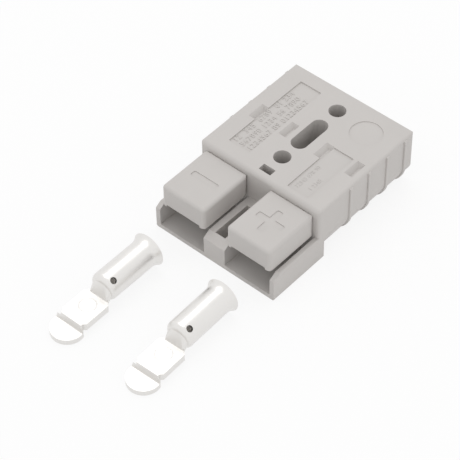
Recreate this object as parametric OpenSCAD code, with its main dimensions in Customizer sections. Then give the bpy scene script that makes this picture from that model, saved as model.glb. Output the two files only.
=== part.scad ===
// Two-pole genderless power connector: a one-piece moulded housing with two
// leaf springs inside it, and two crimp contacts lying loose before its mouth.
// The mouth faces -Y and the plus pole is at +X. The origin lies midway between
// the two screw holes, in the plane of the housing's underside, and everything
// stands or lies on Z = 0.

/* [Housing] */
// Length from the mouth to the rear face
housing_len = 49.1; // [44:0.1:56]
// Height of the body
body_h = 15.7; // [14.5:0.1:18]
// Distance between the centre lines of the two poles
pole_pitch = 19.2; // [18:0.1:22]
// Radius along the body's two lower edges
under_r = 7; // [4:0.1:7.2]
// Radius along the body's two upper edges
top_r = 0.6; // [0.4:0.1:0.8]
// Radius along the body's front upper edge
front_top_r = 1.2; // [0.4:0.1:2]
// Radius of the body's front upright corners
front_r = 0.8; // [0.8:0.1:1.5]
// Radius of the body's rear upright corners
rear_r = 0.8; // [0.3:0.1:1.5]
// Radius along the rear upper edge
rear_top_r = 0.5; // [0.2:0.1:1]

/* [Mouth] */
// Depth of the mouth, back to the body's front face
mouth_len = 15.4; // [13:0.1:18]
// Thickness of the mouth's side walls
mouth_wall = 1.25; // [1:0.05:2]
// Thickness of the mouth's floor
mouth_floor = 1.2; // [0.8:0.1:1.6]
// Clearance from the mouth's rim to the mating plane
rim_drop = 0.65; // [0.2:0.05:1.2]
// Length of the heel that carries the mouth under the body
heel_len = 1.9; // [1:0.1:4]
// Length of the slope on the front ends of the walls
nose_slope_len = 2; // [0.5:0.1:4]
// Height of the slope on the front ends of the walls
nose_slope_h = 1.25; // [0.5:0.05:2.5]
// Radius along the mouth's outer edges
mouth_edge_r = 0.4; // [0.2:0.05:0.6]
// Width of the pocket in the middle island
pocket_w = 2.9; // [1.5:0.1:4]
// Thickness of the island before the pocket
pocket_front = 2.15; // [1.5:0.05:3]
// Thickness of the island behind the pocket
pocket_back = 2.4; // [1.5:0.1:4]

/* [Hoods] */
// Width of each contact hood
hood_w = 12.6; // [11:0.1:13]
// Wall of the hood's two sides
hood_wall = 1.4; // [1:0.1:1.7]
// Wall of the hood's front
hood_front = 1.15; // [0.8:0.05:2]
// Thickness of the hood's roof
hood_roof = 1.4; // [1:0.1:1.6]
// Distance of the hood's front face behind the mouth
hood_setback = 0.45; // [0.2:0.05:1.5]
// Clearance from the hood's side walls to the mating plane
hood_lift = 0.05; // [0.02:0.01:0.3]
// Extra clearance under the hood's front wall
front_lift = 0.55; // [0.1:0.05:0.8]
// Clearance over the hood to the floor of the connector that mates with it
hood_top_gap = 0.6; // [0.4:0.1:1.2]
// Clearance between a hood and the middle island
island_gap = 0.2; // [0.15:0.05:0.8]
// Clearance between a hood and the mouth's side wall
side_gap = 0.35; // [0.2:0.05:1]
// Radius of the hood's front upright corners
hood_corner_r = 1; // [1:0.1:2]
// Radius of the hood's rear upright corners
hood_rear_r = 1; // [0.3:0.1:1.2]
// Radius along the hood's upper edges
hood_top_r = 0.9; // [0.4:0.1:1]
// Radius along the hood's rear upper edge
hood_back_r = 0.5; // [0.2:0.1:0.9]

/* [Pole signs] */
// Length of the minus sign and of each arm of the plus sign
sign_len = 7.4; // [5:0.1:9]
// Width of the sunk strokes
sign_w = 1.7; // [1:0.1:2.5]
// Depth of the sunk strokes
sign_depth = 0.2; // [0.1:0.05:0.6]
// Radius of the signs' corners
sign_r = 0.5; // [0.2:0.05:0.5]

/* [Top face] */
// Distance between the middles of the labels on the two sides
label_pitch = 19.2; // [18:0.1:21]
// Width of each label panel
panel_w = 6.1; // [5:0.1:6.5]
// Length of the long panel, over the minus pole
long_panel = 25.5; // [20:0.5:27]
// Length of the short panel, over the plus pole
short_panel = 16; // [12:0.5:18]
// Gap from the body's front face to the long panel
long_panel_gap = 4.2; // [3:0.1:6]
// Gap from the body's front face to the short panel
short_panel_gap = 1.9; // [1.8:0.1:4]
// Depth of the label panels
panel_depth = 0.33; // [0.1:0.01:0.5]
// Diameter of the round recess near the rear
disc_d = 7.9; // [5:0.1:8.5]
// Depth of the round recess
disc_depth = 0.18; // [0.1:0.01:0.5]
// Distance from the rear face to the middle of the round recess
disc_back = 7.6; // [6:0.1:9]
// Length of each ramped notch
notch_len = 4.9; // [3:0.1:6]
// Width of each ramped notch
notch_w = 2.2; // [1.5:0.1:2.6]
// Depth of each ramped notch at its steep side
notch_depth = 1; // [0.4:0.1:1.4]
// Width of the flat at the foot of each ramp
notch_flat = 1; // [0.3:0.1:1.2]
// Length of the slope at each notch's rear end
notch_slope = 0.8; // [0.3:0.1:1.5]
// Distance from the body's front face to the notches
notch_back = 13.2; // [10:0.1:16]
// Distance from a label's middle to the steep side of its left notch
notch_left = 2.7; // [2:0.1:3.5]
// Distance from a label's middle to the steep side of its right notch
notch_right = 6.2; // [5.6:0.1:6.8]

/* [Mounting holes] */
// Diameter of the two screw holes
screw_hole_d = 4.15; // [3:0.05:4.6]
// Distance between the two screw holes
screw_pitch = 19.55; // [18:0.05:21]
// Distance from the rear face to the rear screw hole
screw_back = 6.15; // [5:0.05:8]
// Length of the slot between the screw holes, end to end
slot_len = 11.1; // [8:0.1:12]
// Gap from the front screw hole to the slot, centre to slot end
slot_gap = 4.02; // [3.6:0.01:5]
// Width of the square window behind the front face
window_w = 3.4; // [2:0.1:4]
// Length of the square window
window_len = 1.95; // [1:0.05:2.4]
// Distance from the body's front face to the window
window_back = 1.8; // [1.2:0.1:2.2]

/* [Grip ribs] */
// Number of ribs on each side
rib_count = 4; // [2:1:4]
// Distance between ribs
rib_pitch = 6.53; // [5:0.01:6.9]
// Width of a rib
rib_w = 0.9; // [0.7:0.1:2]
// How far a rib stands out
rib_out = 0.4; // [0.3:0.05:0.9]
// Radius along a rib's two edges
rib_edge_r = 0.2; // [0.1:0.05:0.3]
// Distance from the rear face to the last rib
rib_back = 3.25; // [2.5:0.05:5]
// Distance of the ribs' upper ends below the top face
rib_top_gap = 0.5; // [0.4:0.1:5]

/* [Wire entries] */
// Diameter of the rear holes for the insulated wires
wire_hole_d = 10.2; // [9.6:0.1:10.6]
// Depth of the rear holes
wire_hole_len = 14.6; // [10:0.1:16]
// Diameter of the seats for the contacts' barrels
barrel_seat_d = 9.2; // [9:0.1:9.4]
// Height of the wire entries' centre line
bore_z = 6.6; // [6.3:0.05:6.8]
// Wall between the mouth and the barrel seats
seat_wall = 3.6; // [3:0.1:5]
// Height of the lip that stops a contact's barrel
lip_z = 5.2; // [4.6:0.1:6]
// Width of the way for a contact's neck over that lip
way_w = 8.4; // [7.6:0.1:8.6]
// Size of the lead-in slope at the rear holes
lead_in = 0.5; // [0.2:0.1:0.8]

/* [Springs] */
// Width of a leaf spring
spring_w = 7; // [5:0.1:8]
// Thickness of a leaf spring
spring_t = 0.5; // [0.3:0.05:0.6]
// Length of the tail held in the housing
tail_len = 6.5; // [4:0.1:8]
// Clearance between the spring and the roof over it
spring_gap = 0.3; // [0.2:0.05:0.5]
// Clearance at the two sides of the tail
tail_gap = 0.1; // [0.05:0.05:0.3]
// Height that the leaf drops to its tip
leaf_drop = 1.9; // [0.5:0.1:2]
// Distance from the mouth to the leaf's tip
leaf_tip = 8.6; // [6:0.1:10]
// Length of the flat at the leaf's tip
tip_flat = 1.2; // [0.5:0.1:2]

/* [Contacts] */
// Length of a contact, end to end
contact_len = 30.4; // [28:0.1:34]
// Outer diameter of the crimp barrel
barrel_d = 7; // [6:0.1:7.4]
// Wall of the crimp barrel
barrel_wall = 0.75; // [0.5:0.05:1]
// Length of the barrel, to its rounded shoulder
barrel_len = 15.4; // [13:0.1:16]
// Radius of the barrel's shoulder
shoulder_r = 1.3; // [0.8:0.1:2]
// Thickness of the barrel's closed end
barrel_end = 1; // [0.7:0.1:1.5]
// Length of the flare at the barrel's mouth
flare_len = 2.2; // [1.5:0.1:3]
// How far the flare stands out
flare_out = 0.8; // [0.4:0.05:1]
// Diameter of the inspection hole
peep_d = 1.6; // [1:0.1:2]
// Distance from the barrel's mouth to the inspection hole
peep_back = 13.6; // [10:0.1:13.6]
// Turn of the inspection hole from the top
peep_turn = 38; // [0:1:60]
// Width of the neck
neck_w = 4.8; // [3:0.1:6]
// Width of the tongue
tongue_w = 7.3; // [6:0.1:8]
// Thickness of the tongue
tongue_t = 1.9; // [1.4:0.1:2.2]
// Distance of the tongue behind the barrel's end
neck_len = 0.7; // [0.4:0.1:1.5]
// Cut corners of the tongue
tongue_cut = 1.1; // [0.4:0.1:1.6]
// Diameter of the contact's rounded nose
nose_d = 8; // [7:0.1:8.4]
// Distance from the tongue's front edge to the tip of the nose
nose_len = 5.2; // [4.5:0.1:6]
// Thickness of the nose
nose_t = 1.4; // [1:0.1:1.8]
// Height of the tongue's underside over the nose's
tongue_rise = 1; // [0.6:0.1:1.2]
// Length of the slope from the tongue to the nose
step_len = 0.6; // [0.3:0.1:1]
// Width of the waist between the tongue and the nose
waist_w = 6; // [5:0.1:6.5]
// Distance from the mouth of the housing to the left contact's barrel
left_gap = 9.4; // [5:0.1:15]
// Distance from the mouth of the housing to the right contact's barrel
right_gap = 8.8; // [5:0.1:15]
// Sideways place of the left contact's barrel from its pole
left_shift = -1.5; // [-3:0.1:3]
// Sideways place of the right contact's barrel from its pole
right_shift = 0.76; // [-3:0.01:3]
// Turn of the left contact as it lies
left_turn = 0.3; // [-5:0.1:5]
// Turn of the right contact as it lies
right_turn = 1.6; // [-5:0.1:5]

/* [Hidden] */

$fn = 64;
over = 1;                                     // how far a cutter runs past a face
leaf_steps = 14;                              // facets along the leaf's bend

// Across the housing
pole_x = pole_pitch / 2;
label_x = label_pitch / 2;
hood_out = pole_x + hood_w / 2;               // outer side of a hood
island_x = pole_x - hood_w / 2 - island_gap;  // half width of the middle island
channel_x = hood_out + side_gap;              // inner side of the mouth's wall
half_w = channel_x + mouth_wall;              // half width of the body

// Up the housing
mate_z = body_h / 2;                          // plane where two connectors meet
rim_z = mate_z - rim_drop;                    // top of the mouth's walls
hood_z0 = mate_z + hood_lift;
hood_z1 = body_h - mouth_floor - hood_top_gap;
roof_z = hood_z1 - hood_roof;                 // underside of the hood's roof
tail_z = roof_z - spring_gap;                 // upper side of the spring's tail

// Along the housing, from the mouth
seat_y = mouth_len + seat_wall;               // front end of the barrel seats
tail_y = seat_y + spring_gap;                 // front end of the tail's slot
bore_step = housing_len - wire_hole_len;      // where the wire holes end
screw_y1 = housing_len - screw_back;
screw_y0 = screw_y1 - screw_pitch;
origin_y = (screw_y0 + screw_y1) / 2;         // the origin's place, from the mouth

// Left and right sides, as signs
sides = [-1, 1];

// ---- shapes ----

// Rectangle from p to q; r holds a radius for each corner, anticlockwise from p
module corner_rect(p, q, r) {
    difference() {
        translate(p) square(q - p);
        for (i = [0:3]) {
            at_left = i == 0 || i == 3;
            at_low = i < 2;
            if (r[i] > 0)
                translate([at_left ? p.x : q.x, at_low ? p.y : q.y])
                    mirror([at_left ? 0 : 1, 0]) mirror([0, at_low ? 0 : 1])
                        difference() {
                            translate([-over, -over]) square(r[i] + over);
                            translate([r[i], r[i]]) circle(r[i]);
                        }
        }
    }
}

// Bar with round ends along X, of full length len
module bar(len, w) {
    square([len - w, w], center = true);
    for (s = sides) translate([s * (len - w) / 2, 0]) circle(d = w);
}

// An X-Z outline run along Y from y0 to y1
module along_y(y0, y1) {
    translate([0, y1, 0]) rotate([90, 0, 0]) linear_extrude(y1 - y0) children();
}

// A Y-Z outline run along X from x0 to x1
module along_x(x0, x1) {
    translate([x0, 0, 0]) rotate([90, 0, 90]) linear_extrude(x1 - x0) children();
}

// Upright slab from y0 to y1 with its front corners rounded by r, and its
// upper edges rounded by e at the sides, round the corners and along the front
module soft_slab(half, y0, y1, h, r, e) {
    along_y(y0 + r, y1) corner_rect([-half, 0], [half, h], [0, 0, e, e]);
    along_x(-(half - r), half - r) corner_rect([y0, 0], [y0 + r, h], [0, 0, 0, e]);
    for (s = sides) translate([s * (half - r), y0 + r, 0])
        rotate([0, 0, s > 0 ? -90 : 180]) rotate_extrude(angle = 90)
            corner_rect([0, 0], [r, h], [0, 0, e, 0]);
}

// ---- housing ----

module body() {
    intersection() {
        soft_slab(half_w, mouth_len, housing_len, body_h, front_r, top_r);
        along_y(mouth_len - over, housing_len + over)
            corner_rect([-half_w, 0], [half_w, body_h + over], [under_r, under_r, 0, 0]);
        linear_extrude(body_h) corner_rect([-half_w, mouth_len - over],
            [half_w, housing_len], [0, 0, rear_r, rear_r]);
        along_x(-half_w, half_w) corner_rect([mouth_len, 0],
            [housing_len, body_h], [0, 0, rear_top_r, front_top_r]);
    }
}

// Walls, floor and middle island that take the mating connector's hoods
module mouth() {
    difference() {
        along_y(0, mouth_len + heel_len)
            corner_rect([-half_w, 0], [half_w, rim_z], [1, 1, 1, 1] * mouth_edge_r);
        for (s = sides) scale([s, 1, 1])
            translate([island_x, -over, mouth_floor])
                cube([channel_x - island_x, mouth_len + over, rim_z]);
        translate([-pocket_w / 2, pocket_front, mouth_floor])
            cube([pocket_w, mouth_len - pocket_front - pocket_back, rim_z]);
        along_x(-half_w - over, half_w + over) polygon([
            [-over, rim_z - nose_slope_h * (1 + over / nose_slope_len)],
            [nose_slope_len * (1 + over / nose_slope_h), rim_z + over],
            [-over, rim_z + over]]);
    }
}

// Hollow hood over one contact, open below
module hood() {
    translate([0, 0, hood_z0]) intersection() {
        soft_slab(hood_w / 2, hood_setback, mouth_len + over, hood_z1 - hood_z0,
            hood_corner_r, hood_top_r);
        linear_extrude(hood_z1) union() {
            corner_rect([-hood_w / 2, 0], [hood_w / 2, mouth_len],
                [0, 0, hood_rear_r, hood_rear_r]);
            translate([hood_rear_r - hood_w / 2, mouth_len - over])
                square([hood_w - 2 * hood_rear_r, 2 * over]);
        }
        along_x(-hood_w / 2, hood_w / 2) union() {
            corner_rect([0, 0], [mouth_len, hood_z1 - hood_z0], [0, 0, hood_back_r, 0]);
            square([mouth_len + over, hood_z1 - hood_z0 - hood_back_r]);
        }
    }
}

// Space inside a hood, from behind its front wall to the barrel seat, with the
// way for the contact's neck over the lip that stops its barrel
module hood_space() {
    inner = hood_w / 2 - hood_wall;
    front = hood_setback + hood_front;
    translate([-inner, front, rim_z])
        cube([2 * inner, seat_y + spring_gap - front, roof_z - rim_z]);
    translate([-inner, hood_setback - over, rim_z])
        cube([2 * inner, hood_front + 2 * over, hood_z0 + front_lift - rim_z]);
    translate([-way_w / 2, mouth_len - over, lip_z])
        cube([way_w, seat_wall + spring_gap + over, rim_z + over - lip_z]);
}

// Stepped hole from the rear face for one wire and its barrel
module wire_entry() {
    translate([0, housing_len + over, bore_z]) rotate([90, 0, 0])
        cylinder(h = wire_hole_len + over, d = wire_hole_d);
    translate([0, housing_len - wire_hole_len + over, bore_z]) rotate([90, 0, 0])
        cylinder(h = bore_step - seat_y + over, d = barrel_seat_d);
    translate([0, housing_len, bore_z]) rotate([90, 0, 0])
        translate([0, 0, -over]) cylinder(h = lead_in + over,
            r1 = wire_hole_d / 2 + lead_in + over, r2 = wire_hole_d / 2);
}

// Slot that grips one spring's tail
module tail_slot() {
    w = spring_w + 2 * tail_gap;
    translate([-w / 2, tail_y - over, tail_z - spring_t])
        cube([w, tail_len + over, spring_t]);
}

// One stroke of a sign, along X
module sign_bar() {
    corner = [sign_len, sign_w] / 2;
    corner_rect(-corner, corner, [1, 1, 1, 1] * sign_r);
}

module pole_signs() {
    sign_y = (hood_setback + mouth_len) / 2;
    translate([0, sign_y, hood_z1 - sign_depth]) linear_extrude(sign_depth + over) {
        for (s = sides) translate([s * pole_x, 0]) sign_bar();
        translate([pole_x, 0]) rotate(90) sign_bar();
    }
}

// Sunk panels and round recess of the top face
module top_labels() {
    panel_r = 0.3;
    translate([0, mouth_len, body_h - panel_depth]) linear_extrude(panel_depth + over) {
        corner_rect([-label_x - panel_w / 2, long_panel_gap],
            [-label_x + panel_w / 2, long_panel_gap + long_panel], [1, 1, 1, 1] * panel_r);
        corner_rect([label_x - panel_w / 2, short_panel_gap],
            [label_x + panel_w / 2, short_panel_gap + short_panel], [1, 1, 1, 1] * panel_r);
    }
    translate([label_x, housing_len - disc_back, body_h - disc_depth])
        cylinder(h = disc_depth + over, d = disc_d);
}

// Notch with a ramp that falls towards +X and a steep side there
module notch() {
    translate([0, mouth_len + notch_back, body_h]) intersection() {
        along_y(0, notch_len) polygon([[-notch_w, 0], [-notch_flat, -notch_depth],
            [0, -notch_depth], [0, over], [-notch_w, over]]);
        along_x(-notch_w, 0) polygon([[0, -notch_depth], [notch_len - notch_slope, -notch_depth],
            [notch_len, 0], [notch_len, over], [0, over]]);
    }
}

module mounting_holes() {
    slot_y = screw_y0 + slot_gap + slot_len / 2;
    translate([0, 0, -over]) linear_extrude(body_h + 2 * over) {
        for (y = [screw_y0, screw_y1]) translate([0, y]) circle(d = screw_hole_d);
        translate([0, slot_y]) rotate(90) bar(slot_len, screw_hole_d);
        translate([-window_w / 2, mouth_len + window_back]) square([window_w, window_len]);
    }
}

// Outline of a rib along its path, from inside the wall to its two round edges
module rib_section(at) {
    depth = 1;                                // how far the rib reaches into the wall
    translate([at - depth, 0]) corner_rect([0, -rib_w / 2], [depth + rib_out, rib_w / 2],
        [0, rib_edge_r, rib_edge_r, 0]);
}

// One rib on the +X side: straight down the wall, then round the lower edge
module rib() {
    top = body_h - rib_top_gap;
    intersection() {
        union() {
            translate([half_w - under_r, 0, under_r])
                linear_extrude(top - under_r) rib_section(under_r);
            translate([half_w - under_r, 0, under_r]) rotate([-90, 0, 0])
                rotate_extrude(angle = 90) rib_section(under_r);
        }
        along_y(-rib_w, rib_w)
            corner_rect([0, 0], [half_w + rib_out, top], [0, 0, rib_out, 0]);
    }
}

module housing() {
    color("lightgray") difference() {
        union() {
            body();
            mouth();
            for (s = sides) translate([s * pole_x, 0, 0]) hood();
            for (s = sides, i = [0:rib_count - 1])
                translate([0, housing_len - rib_back - i * rib_pitch, 0])
                    mirror([s > 0 ? 0 : 1, 0, 0]) rib();
        }
        for (s = sides) translate([s * pole_x, 0, 0]) {
            hood_space();
            wire_entry();
            tail_slot();
        }
        for (s = sides, edge = [-notch_left, notch_right])
            translate([s * label_x + edge, 0, 0]) notch();
        pole_signs();
        top_labels();
        mounting_holes();
    }
}

// ---- springs ----

// Middle line of the leaf: flat tail, a smooth bend down, then a flat tip
function leaf_z(y) = let (
        y0 = leaf_tip + tip_flat,
        t = max(0, min(1, (tail_y - y) / (tail_y - y0))))
    tail_z - spring_t / 2 - leaf_drop * (1 - cos(180 * t)) / 2;

module leaf_spring() {
    ys = concat([leaf_tip],
        [for (i = [0:leaf_steps]) leaf_tip + tip_flat
            + (tail_y - leaf_tip - tip_flat) * i / leaf_steps],
        [tail_y + tail_len]);
    last = len(ys) - 1;
    along_x(-spring_w / 2, spring_w / 2) polygon(concat(
        [for (i = [0:last]) [ys[i], leaf_z(ys[i]) + spring_t / 2]],
        [for (i = [last:-1:0]) [ys[i], leaf_z(ys[i]) - spring_t / 2]]));
}

module left_spring() {
    color("silver") translate([-pole_x, 0, 0]) leaf_spring();
}

module right_spring() {
    color("silver") translate([pole_x, 0, 0]) leaf_spring();
}

// ---- contacts, built with the barrel's mouth at Y = 0 and the nose towards -Y ----

// Half section of the crimp barrel: X is the radius, Y runs in from the mouth
module barrel_section() {
    r = barrel_d / 2;
    flare_r = (flare_len * flare_len + flare_out * flare_out) / (2 * flare_out);
    difference() {
        union() {
            corner_rect([0, 0], [r, barrel_len], [0, 0, shoulder_r, 0]);
            difference() {
                square([r + flare_out, flare_len]);
                translate([r + flare_r, flare_len]) circle(flare_r);
            }
        }
        translate([-over, flare_len])
            square([r - barrel_wall + over, barrel_len - barrel_end - flare_len]);
        difference() {
            translate([-over, -over]) square([r + flare_out + over, flare_len + over]);
            translate([r + flare_r, flare_len]) circle(flare_r + barrel_wall);
        }
    }
}

// Outline of the tongue and nose from above
module tongue_plan() {
    y0 = -(barrel_len + neck_len);
    y1 = nose_len - contact_len;
    w = tongue_w / 2;
    polygon([[w - tongue_cut, y0], [w, y0 - tongue_cut], [w, y1 + tongue_cut],
        [w - tongue_cut, y1], [tongue_cut - w, y1], [-w, y1 + tongue_cut],
        [-w, y0 - tongue_cut], [tongue_cut - w, y0]]);
    translate([-waist_w / 2, nose_d / 2 - contact_len])
        square([waist_w, nose_len - nose_d / 2 + tongue_cut]);
    intersection() {
        translate([0, nose_d / 2 - contact_len]) circle(d = nose_d);
        translate([-nose_d, y1 - step_len / 3 - nose_d]) square([2 * nose_d, nose_d]);
    }
}

// Outline of the tongue and nose from the side, with the step down between them
module tongue_side() {
    y0 = -(barrel_len + neck_len);
    y1 = nose_len - contact_len;
    top = tongue_rise + tongue_t;
    polygon([[y0, tongue_rise], [y0, top], [y1, top], [y1 - step_len, nose_t],
        [-contact_len, nose_t], [-contact_len, 0], [y1, 0], [y1 + step_len, tongue_rise]]);
}

module contact() {
    axis_z = barrel_d / 2 + flare_out;
    end_r = barrel_d / 2 - shoulder_r / 2;
    slice = 0.1;
    color("silver") {
        difference() {
            translate([0, 0, axis_z]) rotate([90, 0, 0]) rotate_extrude() barrel_section();
            translate([0, -peep_back, axis_z]) rotate([0, peep_turn, 0])
                cylinder(h = barrel_d, d = peep_d);
        }
        hull() {
            translate([0, -barrel_len + barrel_end / 2, axis_z]) rotate([90, 0, 0])
                cylinder(h = slice, r = end_r, $fn = 32);
            translate([-neck_w / 2, -barrel_len - neck_len - tongue_cut / 2, tongue_rise])
                cube([neck_w, slice, tongue_t]);
        }
        intersection() {
            linear_extrude(tongue_rise + tongue_t) tongue_plan();
            along_x(-nose_d, nose_d) tongue_side();
        }
    }
}

module left_contact() {
    translate([left_shift - pole_x, -left_gap, 0]) rotate(left_turn) contact();
}

module right_contact() {
    translate([right_shift + pole_x, -right_gap, 0]) rotate(right_turn) contact();
}

translate([0, -origin_y, 0]) {
    housing();
    left_spring();
    right_spring();
    left_contact();
    right_contact();
}
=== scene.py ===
import math

import bpy
from mathutils import Matrix, Vector


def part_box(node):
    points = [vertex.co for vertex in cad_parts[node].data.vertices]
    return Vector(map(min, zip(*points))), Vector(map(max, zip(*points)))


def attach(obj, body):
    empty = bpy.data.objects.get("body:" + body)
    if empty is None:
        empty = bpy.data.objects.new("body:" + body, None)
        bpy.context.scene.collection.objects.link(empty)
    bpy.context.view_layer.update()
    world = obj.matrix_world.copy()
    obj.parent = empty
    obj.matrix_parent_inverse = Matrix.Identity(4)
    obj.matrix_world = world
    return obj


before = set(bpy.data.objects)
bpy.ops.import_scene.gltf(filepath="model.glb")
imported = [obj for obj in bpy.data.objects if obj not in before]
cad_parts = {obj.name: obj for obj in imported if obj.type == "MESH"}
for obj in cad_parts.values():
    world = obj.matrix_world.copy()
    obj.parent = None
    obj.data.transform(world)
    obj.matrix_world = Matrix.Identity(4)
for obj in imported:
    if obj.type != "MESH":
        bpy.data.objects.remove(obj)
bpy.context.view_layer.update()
print("frame loaded:", ", ".join(sorted(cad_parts)))

mm = 0.001
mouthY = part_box("housing")[0][1]          # the mouth's front edge; the body runs back from it
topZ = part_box("housing")[1][2]            # the body's top face


# ---- small helpers ----

def addNode(tree, kind, place=(0, 0), **settings):
    node = tree.nodes.new(kind)
    node.location = place
    for name, value in settings.items():
        setattr(node, name, value)
    return node


def fill(node, **values):
    for name, value in values.items():
        node.inputs[name.replace("_", " ")].default_value = value
    return node


def newTree(name, kind, inputs, outputs):
    tree = bpy.data.node_groups.new(name, kind)
    for label, socketType, value in inputs:
        socket = tree.interface.new_socket(label, in_out="INPUT", socket_type=socketType)
        if value is not None:
            socket.default_value = value
    for label, socketType in outputs:
        tree.interface.new_socket(label, in_out="OUTPUT", socket_type=socketType)
    start = addNode(tree, "NodeGroupInput", (-900, 0))
    end = addNode(tree, "NodeGroupOutput", (900, 0))
    return tree, start, end


def newMaterial(name):
    material = bpy.data.materials.new(name)
    material.use_nodes = True
    tree = material.node_tree
    shader = tree.nodes["Principled BSDF"]
    shader.location = (400, 0)
    return material, tree, shader


def useGroup(tree, group, place=(0, 0), **values):
    node = addNode(tree, "ShaderNodeGroup", place, node_tree=group)
    return fill(node, **values)


def finishNode(nodeName, material):
    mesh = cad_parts[nodeName].data
    mesh.materials.clear()
    mesh.materials.append(material)


# ---- shader groups ----

def buildGrain():
    # fine moulded or satin grain, with a slow drift of tone across the piece
    group, start, end = newTree("surfaceGrain", "ShaderNodeTree", [
        ("Colour", "NodeSocketColor", (0.5, 0.5, 0.5, 1)),
        ("Tone Drift", "NodeSocketFloat", 0.03),
        ("Drift Scale", "NodeSocketFloat", 90.0),
        ("Grain Scale", "NodeSocketFloat", 4500.0),
        ("Roughness", "NodeSocketFloat", 0.5),
        ("Roughness Spread", "NodeSocketFloat", 0.08)],
        [("Colour", "NodeSocketColor"), ("Roughness", "NodeSocketFloat"),
         ("Height", "NodeSocketFloat")])
    link = group.links.new
    place = addNode(group, "ShaderNodeTexCoord", (-900, -300))
    drift = fill(addNode(group, "ShaderNodeTexNoise", (-600, 200)), Detail=3.0)
    grain = fill(addNode(group, "ShaderNodeTexNoise", (-600, -200)), Detail=4.0, Roughness=0.6)
    for texture, scale in ((drift, "Drift Scale"), (grain, "Grain Scale")):
        link(place.outputs["Object"], texture.inputs["Vector"])
        link(start.outputs[scale], texture.inputs["Scale"])
    centred = addNode(group, "ShaderNodeMath", (-380, 200), operation="SUBTRACT")
    centred.inputs[1].default_value = 0.5
    link(drift.outputs["Fac"], centred.inputs[0])
    swing = addNode(group, "ShaderNodeMath", (-180, 200), operation="MULTIPLY")
    link(centred.outputs[0], swing.inputs[0])
    link(start.outputs["Tone Drift"], swing.inputs[1])
    level = addNode(group, "ShaderNodeMath", (20, 200), operation="MULTIPLY_ADD")
    level.inputs[1].default_value = 2.0
    level.inputs[2].default_value = 1.0
    link(swing.outputs[0], level.inputs[0])
    toned = addNode(group, "ShaderNodeVectorMath", (240, 200), operation="SCALE")
    link(start.outputs["Colour"], toned.inputs[0])
    link(level.outputs[0], toned.inputs["Scale"])
    link(toned.outputs[0], end.inputs["Colour"])
    spread = addNode(group, "ShaderNodeMath", (20, -50), operation="MULTIPLY_ADD")
    link(centred.outputs[0], spread.inputs[0])
    link(start.outputs["Roughness Spread"], spread.inputs[1])
    link(start.outputs["Roughness"], spread.inputs[2])
    link(spread.outputs[0], end.inputs["Roughness"])
    link(grain.outputs["Fac"], end.inputs["Height"])
    return group


def buildScuffs():
    # sparse fine scratches from handling, as a mask from 0 to 1
    group, start, end = newTree("handlingScuffs", "ShaderNodeTree", [
        ("Scale", "NodeSocketFloat", 500.0),
        ("Stretch", "NodeSocketVector", (1.0, 0.08, 1.0)),
        ("Amount", "NodeSocketFloat", 0.3)],
        [("Mask", "NodeSocketFloat")])
    link = group.links.new
    place = addNode(group, "ShaderNodeTexCoord", (-900, -200))
    stretch = addNode(group, "ShaderNodeVectorMath", (-680, -100), operation="MULTIPLY")
    link(place.outputs["Object"], stretch.inputs[0])
    link(start.outputs["Stretch"], stretch.inputs[1])
    streaks = fill(addNode(group, "ShaderNodeTexNoise", (-460, -100)), Detail=5.0, Roughness=0.7)
    link(stretch.outputs[0], streaks.inputs["Vector"])
    link(start.outputs["Scale"], streaks.inputs["Scale"])
    pick = addNode(group, "ShaderNodeMapRange", (-220, -100))
    pick.inputs["From Min"].default_value = 0.58
    pick.inputs["From Max"].default_value = 0.75
    link(streaks.outputs["Fac"], pick.inputs["Value"])
    amount = addNode(group, "ShaderNodeMath", (20, -100), operation="MULTIPLY")
    link(pick.outputs["Result"], amount.inputs[0])
    link(start.outputs["Amount"], amount.inputs[1])
    link(amount.outputs[0], end.inputs["Mask"])
    return group


def buildTurning():
    # fine rings left by the lathe round a barrel, along the piece's own Y
    group, start, end = newTree("latheRings", "ShaderNodeTree", [
        ("Place", "NodeSocketVector", (0, 0, 0)),
        ("Rings per metre", "NodeSocketFloat", 3600.0),
        ("From", "NodeSocketFloat", 0.0),
        ("To", "NodeSocketFloat", 1.0)],
        [("Height", "NodeSocketFloat")])
    link = group.links.new
    split = addNode(group, "ShaderNodeSeparateXYZ", (-680, 0))
    link(start.outputs["Place"], split.inputs[0])
    count = addNode(group, "ShaderNodeMath", (-460, 120), operation="MULTIPLY")
    link(split.outputs["Y"], count.inputs[0])
    link(start.outputs["Rings per metre"], count.inputs[1])
    saw = addNode(group, "ShaderNodeMath", (-260, 120), operation="PINGPONG")
    saw.inputs[1].default_value = 0.5
    link(count.outputs[0], saw.inputs[0])
    after = addNode(group, "ShaderNodeMath", (-460, -80), operation="GREATER_THAN")
    link(split.outputs["Y"], after.inputs[0])
    link(start.outputs["From"], after.inputs[1])
    before = addNode(group, "ShaderNodeMath", (-460, -260), operation="LESS_THAN")
    link(split.outputs["Y"], before.inputs[0])
    link(start.outputs["To"], before.inputs[1])
    both = addNode(group, "ShaderNodeMath", (-240, -160), operation="MULTIPLY")
    link(after.outputs[0], both.inputs[0])
    link(before.outputs[0], both.inputs[1])
    height = addNode(group, "ShaderNodeMath", (0, 0), operation="MULTIPLY")
    link(saw.outputs[0], height.inputs[0])
    link(both.outputs[0], height.inputs[1])
    link(height.outputs[0], end.inputs["Height"])
    return group


surfaceGrain = buildGrain()
handlingScuffs = buildScuffs()
latheRings = buildTurning()


# ---- materials ----

plastic = {
    "colour": (0.575, 0.55, 0.53, 1),     # warm light grey, coloured through
    "toneDrift": 0.035,
    "grainDepth": 0.00003,                # metres of relief in the moulded grain
    "roughness": 0.5,
    "scuffLift": 0.04,
    "wornColour": (0.78, 0.76, 0.74, 1),
}

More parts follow.
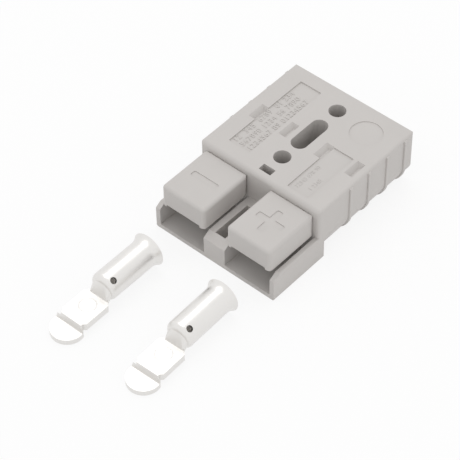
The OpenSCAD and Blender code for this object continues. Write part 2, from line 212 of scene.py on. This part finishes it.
silver = {
    "colour": (0.8, 0.785, 0.765, 1),      # silver plate, satin
    "roughness": 0.3,
    "grainDepth": 0.000006,
    "ringDepth": 0.00002,
    "ringZone": (-0.0135, -0.0005),       # along the barrel, from its open end
}

springSteel = {
    "colour": (0.62, 0.62, 0.61, 1),
    "roughness": 0.32,
    "grainDepth": 0.000006,
}


def makePlastic():
    material, tree, shader = newMaterial("mouldedGreyPlastic")
    link = tree.links.new
    grain = useGroup(tree, surfaceGrain, (-500, 0), Colour=plastic["colour"],
                     Tone_Drift=plastic["toneDrift"], Drift_Scale=110.0, Grain_Scale=5200.0,
                     Roughness=plastic["roughness"], Roughness_Spread=0.12)
    scuffs = useGroup(tree, handlingScuffs, (-500, -300), Scale=420.0,
                      Stretch=(1.0, 0.12, 1.0), Amount=plastic["scuffLift"])
    worn = addNode(tree, "ShaderNodeMix", (-150, 100), data_type="RGBA")
    worn.inputs["B"].default_value = plastic["wornColour"]
    link(scuffs.outputs["Mask"], worn.inputs["Factor"])
    link(grain.outputs["Colour"], worn.inputs["A"])
    link(worn.outputs["Result"], shader.inputs["Base Color"])
    link(grain.outputs["Roughness"], shader.inputs["Roughness"])
    bump = fill(addNode(tree, "ShaderNodeBump", (100, -250)), Strength=0.35,
                Distance=plastic["grainDepth"])
    link(grain.outputs["Height"], bump.inputs["Height"])
    link(bump.outputs["Normal"], shader.inputs["Normal"])
    shader.inputs["Specular IOR Level"].default_value = 0.4
    return material


def makeSilver(name, barrel):
    # barrel: middle of the open end, and the turn of the contact as it lies
    material, tree, shader = newMaterial(name)
    link = tree.links.new
    grain = useGroup(tree, surfaceGrain, (-500, 100), Colour=silver["colour"], Tone_Drift=0.02,
                     Drift_Scale=260.0, Grain_Scale=9000.0, Roughness=silver["roughness"],
                     Roughness_Spread=0.14)
    scuffs = useGroup(tree, handlingScuffs, (-500, -200), Scale=900.0,
                      Stretch=(1.0, 0.1, 1.0), Amount=0.25)
    place = addNode(tree, "ShaderNodeTexCoord", (-1100, -400))
    turn = addNode(tree, "ShaderNodeMapping", (-900, -400), vector_type="TEXTURE")
    turn.inputs["Location"].default_value = barrel["place"]
    turn.inputs["Rotation"].default_value = (0, 0, math.radians(barrel["turn"]))
    link(place.outputs["Object"], turn.inputs["Vector"])
    rings = useGroup(tree, latheRings, (-500, -420), From=silver["ringZone"][0],
                     To=silver["ringZone"][1])
    rings.inputs["Rings per metre"].default_value = barrel["rings"]
    link(turn.outputs["Vector"], rings.inputs["Place"])
    worn = addNode(tree, "ShaderNodeMath", (-200, -100), operation="ADD")
    link(grain.outputs["Roughness"], worn.inputs[0])
    link(scuffs.outputs["Mask"], worn.inputs[1])
    link(grain.outputs["Colour"], shader.inputs["Base Color"])
    link(worn.outputs[0], shader.inputs["Roughness"])
    fine = fill(addNode(tree, "ShaderNodeBump", (-50, -300)), Strength=0.4,
                Distance=silver["grainDepth"])
    link(grain.outputs["Height"], fine.inputs["Height"])
    turned = fill(addNode(tree, "ShaderNodeBump", (170, -400)), Strength=barrel["depth"],
                  Distance=silver["ringDepth"])
    link(rings.outputs["Height"], turned.inputs["Height"])
    link(fine.outputs["Normal"], turned.inputs["Normal"])
    link(turned.outputs["Normal"], shader.inputs["Normal"])
    shader.inputs["Metallic"].default_value = 1.0
    return material


def makeSpringSteel():
    material, tree, shader = newMaterial("rolledSpringSteel")
    link = tree.links.new
    grain = useGroup(tree, surfaceGrain, (-500, 100), Colour=springSteel["colour"],
                     Tone_Drift=0.05, Drift_Scale=200.0, Grain_Scale=7000.0,
                     Roughness=springSteel["roughness"], Roughness_Spread=0.12)
    streaks = useGroup(tree, handlingScuffs, (-500, -200), Scale=2500.0,
                       Stretch=(1.0, 0.03, 1.0), Amount=0.5)
    link(grain.outputs["Colour"], shader.inputs["Base Color"])
    link(grain.outputs["Roughness"], shader.inputs["Roughness"])
    bump = fill(addNode(tree, "ShaderNodeBump", (100, -250)), Strength=0.5,
                Distance=springSteel["grainDepth"])
    link(streaks.outputs["Mask"], bump.inputs["Height"])
    link(bump.outputs["Normal"], shader.inputs["Normal"])
    shader.inputs["Metallic"].default_value = 1.0
    return material


# each contact's own frame: the middle of its open end on the floor, and its turn
leftContact = {"place": (-11.1 * mm, mouthY - 9.4 * mm, 0), "turn": 0.3,
               "rings": 3600.0, "depth": 1.0}
rightContact = {"place": (10.36 * mm, mouthY - 8.8 * mm, 0), "turn": 1.6,
                "rings": 3600.0, "depth": 0.35}

greyPlastic = makePlastic()
leftSilver = makeSilver("leftContactSilver", leftContact)
rightSilver = makeSilver("rightContactSilver", rightContact)
steel = makeSpringSteel()
finishNode("housing", greyPlastic)
finishNode("left_contact", leftSilver)
finishNode("right_contact", rightSilver)
finishNode("left_spring", steel)
finishNode("right_spring", steel)
print("materials made")


# ---- raised marks, grown by geometry nodes ----

def applyTree(name, tree, values):
    # runs a tree on an empty mesh and returns the result as a plain piece
    seed = bpy.data.objects.new(name + "Seed", bpy.data.meshes.new(name + "Seed"))
    bpy.context.scene.collection.objects.link(seed)
    modifier = seed.modifiers.new("grow", "NODES")
    modifier.node_group = tree
    labels = {item.name: item.identifier for item in tree.interface.items_tree
              if item.item_type == "SOCKET" and item.in_out == "INPUT"}
    for label, value in values.items():
        modifier[labels[label]] = value
    seed.update_tag()
    graph = bpy.context.evaluated_depsgraph_get()
    mesh = bpy.data.meshes.new_from_object(seed.evaluated_get(graph), depsgraph=graph)
    seed.modifiers.clear()
    bpy.data.objects.remove(seed)
    mesh.name = name
    piece = bpy.data.objects.new(name, mesh)
    bpy.context.scene.collection.objects.link(piece)
    return piece


def buildDigits():
    # rows of plain raised digits: filled outlines lifted into thin closed blocks
    tree, start, end = newTree("raisedDigits", "GeometryNodeTree", [
        ("Geometry", "NodeSocketGeometry", None),
        ("Digits", "NodeSocketString", "0"),
        ("Size", "NodeSocketFloat", 0.0018),
        ("Letter Spacing", "NodeSocketFloat", 1.0),
        ("Row Spacing", "NodeSocketFloat", 1.0),
        ("Relief", "NodeSocketFloat", 0.0001),
        ("Place", "NodeSocketVector", (0, 0, 0)),
        ("Turn", "NodeSocketVector", (0, 0, 0)),
        ("Finish", "NodeSocketMaterial", None)],
        [("Geometry", "NodeSocketGeometry")])
    link = tree.links.new
    rows = addNode(tree, "GeometryNodeStringToCurves", (-680, 0), align_x="LEFT",
                   align_y="MIDDLE")
    for label, socket in (("Digits", "String"), ("Size", "Size"),
                          ("Letter Spacing", "Character Spacing"),
                          ("Row Spacing", "Line Spacing")):
        link(start.outputs[label], rows.inputs[socket])
    real = addNode(tree, "GeometryNodeRealizeInstances", (-480, 0))
    link(rows.outputs[0], real.inputs[0])
    coarse = addNode(tree, "GeometryNodeSetSplineResolution", (-300, 0))
    coarse.inputs["Resolution"].default_value = 4
    link(real.outputs[0], coarse.inputs[0])
    face = addNode(tree, "GeometryNodeFillCurve", (-120, 0))
    link(coarse.outputs[0], face.inputs[0])
    lift = addNode(tree, "GeometryNodeExtrudeMesh", (80, 80))
    lift.inputs["Individual"].default_value = False
    link(face.outputs[0], lift.inputs["Mesh"])
    link(start.outputs["Relief"], lift.inputs["Offset Scale"])
    base = addNode(tree, "GeometryNodeFlipFaces", (80, -120))
    link(face.outputs[0], base.inputs[0])
    both = addNode(tree, "GeometryNodeJoinGeometry", (260, 0))
    link(lift.outputs["Mesh"], both.inputs[0])
    link(base.outputs[0], both.inputs[0])
    weld = addNode(tree, "GeometryNodeMergeByDistance", (420, 0))
    weld.inputs["Distance"].default_value = 1e-7
    link(both.outputs[0], weld.inputs[0])
    move = addNode(tree, "GeometryNodeTransform", (560, 0))
    link(weld.outputs[0], move.inputs[0])
    link(start.outputs["Place"], move.inputs["Translation"])
    link(start.outputs["Turn"], move.inputs["Rotation"])
    solid = addNode(tree, "GeometryNodeRealizeInstances", (680, 0))
    link(move.outputs[0], solid.inputs[0])
    paint = addNode(tree, "GeometryNodeSetMaterial", (780, 0))
    link(solid.outputs[0], paint.inputs[0])
    link(start.outputs["Finish"], paint.inputs["Material"])
    link(paint.outputs[0], end.inputs["Geometry"])
    return tree


def buildRing():
    # a plain stamped ring: a low flat bead swept round a circle
    tree, start, end = newTree("stampedRing", "GeometryNodeTree", [
        ("Geometry", "NodeSocketGeometry", None),
        ("Radius", "NodeSocketFloat", 0.002),
        ("Bead", "NodeSocketFloat", 0.00012),
        ("Squash", "NodeSocketVector", (1, 1, 0.5)),
        ("Place", "NodeSocketVector", (0, 0, 0)),
        ("Finish", "NodeSocketMaterial", None)],
        [("Geometry", "NodeSocketGeometry")])
    link = tree.links.new
    path = addNode(tree, "GeometryNodeCurvePrimitiveCircle", (-600, 100))
    path.inputs["Resolution"].default_value = 64
    link(start.outputs["Radius"], path.inputs["Radius"])
    bead = addNode(tree, "GeometryNodeCurvePrimitiveCircle", (-600, -150))
    bead.inputs["Resolution"].default_value = 12
    link(start.outputs["Bead"], bead.inputs["Radius"])
    sweep = addNode(tree, "GeometryNodeCurveToMesh", (-300, 0))
    link(path.outputs["Curve"], sweep.inputs["Curve"])
    link(bead.outputs["Curve"], sweep.inputs["Profile Curve"])
    flat = addNode(tree, "GeometryNodeTransform", (-80, 0))
    link(sweep.outputs[0], flat.inputs[0])
    link(start.outputs["Squash"], flat.inputs["Scale"])
    move = addNode(tree, "GeometryNodeTransform", (140, 0))
    link(flat.outputs[0], move.inputs[0])
    link(start.outputs["Place"], move.inputs["Translation"])
    solid = addNode(tree, "GeometryNodeRealizeInstances", (360, 0))
    link(move.outputs[0], solid.inputs[0])
    paint = addNode(tree, "GeometryNodeSetMaterial", (560, 0))
    link(solid.outputs[0], paint.inputs[0])
    link(start.outputs["Finish"], paint.inputs["Material"])
    link(paint.outputs[0], end.inputs["Geometry"])
    return tree


longPanel = {
    "digits": "12  345  6789  01 234\n567890 1234 56 7890\n1234567 89 01234567",
    "size": 2.05 * mm,
    "letters": 1.12,
    "rows": 1.03,
    "relief": 0.14 * mm,
    "place": (-9.6 * mm, mouthY + 20.4 * mm, topZ - 0.34 * mm),
}

shortPanel = {
    "digits": "12345 678 90\n   1 2345",
    "size": 1.5 * mm,
    "letters": 1.0,
    "rows": 1.9,
    "relief": 0.08 * mm,
    "place": (9.6 * mm, mouthY + 18.4 * mm, topZ - 0.34 * mm),
}

tongueRing = {
    "radius": 2.0 * mm,
    "bead": 0.12 * mm,
    "back": 19.9 * mm,                    # from the barrel's open end
    "top": 2.9 * mm,                      # upper face of the tongue
}

digitTree = buildDigits()
ringTree = buildRing()

for name, panel in (("long_panel_digits", longPanel), ("short_panel_digits", shortPanel)):
    digits = applyTree(name, digitTree, {
        "Digits": panel["digits"], "Size": panel["size"], "Letter Spacing": panel["letters"],
        "Row Spacing": panel["rows"], "Relief": panel["relief"], "Place": panel["place"],
        "Turn": (0, 0, math.pi / 2), "Finish": greyPlastic})
    print(name, "faces:", len(digits.data.polygons),
          [round(c / mm, 2) for v in (digits.bound_box[0], digits.bound_box[6]) for c in v])
    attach(digits, "root")

for name, contact, finish in (("left_tongue_ring", leftContact, leftSilver),
                              ("right_tongue_ring", rightContact, rightSilver)):
    turn = math.radians(contact["turn"])
    x, y, z = contact["place"]
    back = tongueRing["back"]
    ring = applyTree(name, ringTree, {
        "Radius": tongueRing["radius"], "Bead": tongueRing["bead"],
        "Place": (x + back * math.sin(turn), y - back * math.cos(turn), tongueRing["top"]),
        "Finish": finish})
    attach(ring, "root")
print("marks made")


# ---- floor, light and camera ----

studio = {
    "floorSize": 3.0,
    "floorColour": (0.92, 0.92, 0.92, 1),
    "floorDrop": 0.02 * mm,               # keeps the floor just under the piece
    "floorWhite": 0.85,                   # how far the floor is lifted to white in view
    "ambient": 0.86,
    "key": {"power": 1.6, "size": 0.7, "place": (-0.25, 0.2, 0.95)},
}


def litOrSeen(tree, place):
    # 1 where the camera, a reflection or clear material looks, 0 for the light itself
    rays = addNode(tree, "ShaderNodeLightPath", place)
    first = addNode(tree, "ShaderNodeMath", (place[0] + 200, place[1]), operation="MAXIMUM")
    second = addNode(tree, "ShaderNodeMath", (place[0] + 400, place[1]), operation="MAXIMUM")
    tree.links.new(rays.outputs["Is Camera Ray"], first.inputs[0])
    tree.links.new(rays.outputs["Is Glossy Ray"], first.inputs[1])
    tree.links.new(first.outputs[0], second.inputs[0])
    tree.links.new(rays.outputs["Is Transmission Ray"], second.inputs[1])
    return second.outputs[0]


def makeFloor():
    half = studio["floorSize"] / 2
    z = -studio["floorDrop"]
    mesh = bpy.data.meshes.new("floor")
    mesh.from_pydata([(-half, -half, z), (half, -half, z), (half, half, z), (-half, half, z)],
                     [], [(0, 1, 2, 3)])
    floor = bpy.data.objects.new("floor", mesh)
    bpy.context.scene.collection.objects.link(floor)
    material, tree, shader = newMaterial("paleFloor")
    fill(shader, Base_Color=studio["floorColour"], Roughness=0.9)
    shader.inputs["Specular IOR Level"].default_value = 0.0
    white = fill(addNode(tree, "ShaderNodeEmission", (400, -400)), Color=(1, 1, 1, 1),
                 Strength=1.0)
    blend = addNode(tree, "ShaderNodeMixShader", (700, 0))
    share = addNode(tree, "ShaderNodeMath", (400, 250), operation="MULTIPLY")
    share.inputs[1].default_value = studio["floorWhite"]
    tree.links.new(litOrSeen(tree, (-300, 250)), share.inputs[0])
    tree.links.new(share.outputs[0], blend.inputs[0])
    tree.links.new(shader.outputs[0], blend.inputs[1])
    tree.links.new(white.outputs[0], blend.inputs[2])
    tree.links.new(blend.outputs[0], tree.nodes["Material Output"].inputs["Surface"])
    floor.data.materials.append(material)


def makeWorld():
    world = bpy.data.worlds.new("studioWorld")
    bpy.context.scene.world = world
    world.use_nodes = True
    tree = world.node_tree
    seen = tree.nodes["Background"]
    fill(seen, Color=(1, 1, 1, 1), Strength=1.0)
    light = fill(addNode(tree, "ShaderNodeBackground", (0, -200)), Color=(1, 1, 1, 1),
                 Strength=studio["ambient"])
    blend = addNode(tree, "ShaderNodeMixShader", (250, 0))
    tree.links.new(litOrSeen(tree, (-700, 250)), blend.inputs[0])
    tree.links.new(light.outputs[0], blend.inputs[1])
    tree.links.new(seen.outputs[0], blend.inputs[2])
    tree.links.new(blend.outputs[0], tree.nodes["World Output"].inputs["Surface"])


def makeLamp(name, lamp):
    data = bpy.data.lights.new(name, "AREA")
    data.energy = lamp["power"]
    data.size = lamp["size"]
    lampObject = bpy.data.objects.new(name, data)
    lampObject.location = lamp["place"]
    aim = -Vector(lamp["place"])
    lampObject.rotation_euler = aim.to_track_quat("-Z", "Y").to_euler()
    bpy.context.scene.collection.objects.link(lampObject)


viewer = {
    "azimuth": 41.792,                    # degrees round from the mouth towards +X
    "elevation": 47.308,
    "roll": -0.806,
    "place": (0.2117, -0.264575, 0.3506),
    "lens": 164.07,
}


def makeCamera():
    azimuth, elevation, roll = (math.radians(viewer[k])
                                for k in ("azimuth", "elevation", "roll"))
    back = Vector((math.sin(azimuth) * math.cos(elevation),
                   -math.cos(azimuth) * math.cos(elevation), math.sin(elevation)))
    right = Vector((math.cos(azimuth), math.sin(azimuth), 0))
    up = back.cross(right)
    across = right * math.cos(roll) + up * math.sin(roll)
    upward = -right * math.sin(roll) + up * math.cos(roll)
    pose = Matrix((across, upward, back)).transposed().to_4x4()
    pose.translation = Vector(viewer["place"])
    data = bpy.data.cameras.new("camera")
    data.lens = viewer["lens"]
    data.sensor_width = 36
    data.clip_start = 0.01
    data.clip_end = 20
    camera = bpy.data.objects.new("camera", data)
    camera.matrix_world = pose
    bpy.context.scene.collection.objects.link(camera)
    bpy.context.scene.camera = camera


makeFloor()
makeWorld()
makeLamp("keyLamp", studio["key"])
makeCamera()
bpy.context.scene.view_settings.view_transform = "Standard"
print("studio made")
